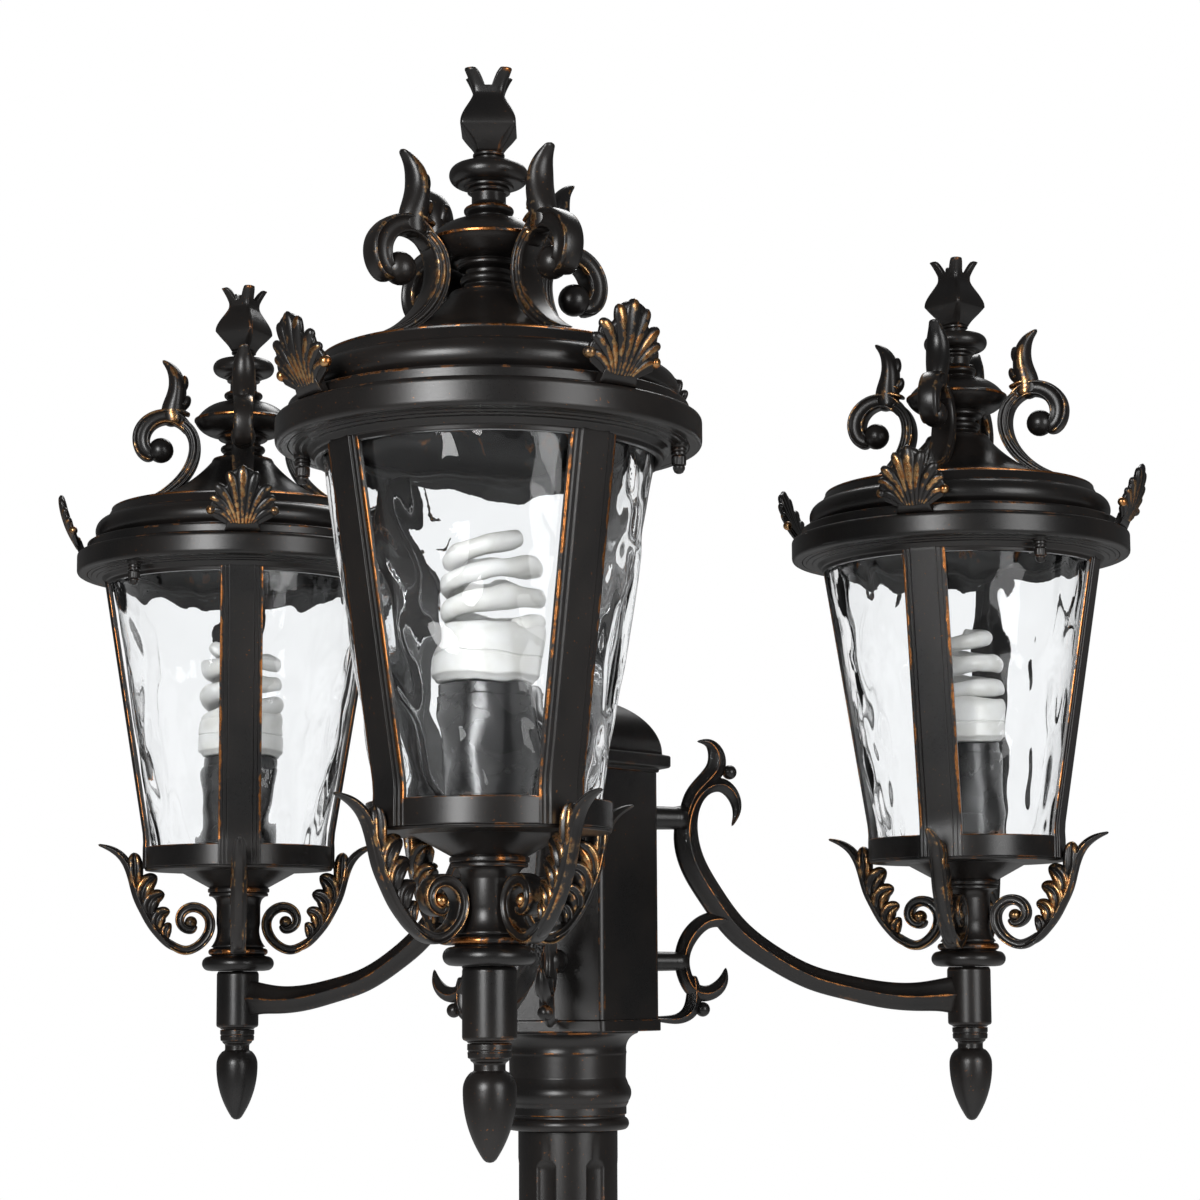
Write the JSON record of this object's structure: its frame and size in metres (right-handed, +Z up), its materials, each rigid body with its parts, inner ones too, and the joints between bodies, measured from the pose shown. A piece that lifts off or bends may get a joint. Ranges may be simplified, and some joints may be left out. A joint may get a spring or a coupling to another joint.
{
  "type": "post light",
  "caption": "Fluted post light with a hexagonal hub and scroll arms that carry round tapered lanterns with scrolled roofs and wavy glass, for lighting paths and gardens.",
  "frame": {"origin": "middle of the base's underside, on the post's axis", "axes": "+Z up along the post, -Y towards the front arm, +X to the front's right"},
  "size_m": [0.9228, 0.8264, 2.252],
  "materials": {
    "bronze": "oil-rubbed bronze, near-black satin with copper rubbed edges",
    "pane_glass": "clear wavy glass",
    "holder": "dark matt",
    "lamp": "warm white coiled tube on a white housing",
    "steel": "plated steel"
  },
  "bodies": {
    "root": {"post_base": "bronze", "base_set_screws": "steel", "post": "bronze", "post_collar": "bronze", "hub_box": "bronze", "hub_cap": "bronze", "arm_screws": "steel", "stem_front": "steel", "drop_finial_front": "bronze", "cup_front": "bronze", "cage_front": "bronze", "glass_panes_front": "pane_glass", "roof_front": "bronze", "roof_studs_front": "steel", "cap_nuts_front": "bronze", "finial_front": "bronze", "brackets_front": "bronze", "roof_scrolls_front": "bronze", "palmettes_front": "bronze", "lampholder_front": "holder", "lampholder_cover_front": "holder", "bulb_front": "lamp", "arm_front": "bronze", "stem_right": "steel", "drop_finial_right": "bronze", "cup_right": "bronze", "cage_right": "bronze", "glass_panes_right": "pane_glass", "roof_right": "bronze", "roof_studs_right": "steel", "cap_nuts_right": "bronze", "finial_right": "bronze", "brackets_right": "bronze", "roof_scrolls_right": "bronze", "palmettes_right": "bronze", "lampholder_right": "holder", "lampholder_cover_right": "holder", "bulb_right": "lamp", "arm_right": "bronze", "stem_left": "steel", "drop_finial_left": "bronze", "cup_left": "bronze", "cage_left": "bronze", "glass_panes_left": "pane_glass", "roof_left": "bronze", "roof_studs_left": "steel", "cap_nuts_left": "bronze", "finial_left": "bronze", "brackets_left": "bronze", "roof_scrolls_left": "bronze", "palmettes_left": "bronze", "lampholder_left": "holder", "lampholder_cover_left": "holder", "bulb_left": "lamp", "arm_left": "bronze"}
  },
  "joints": []
}
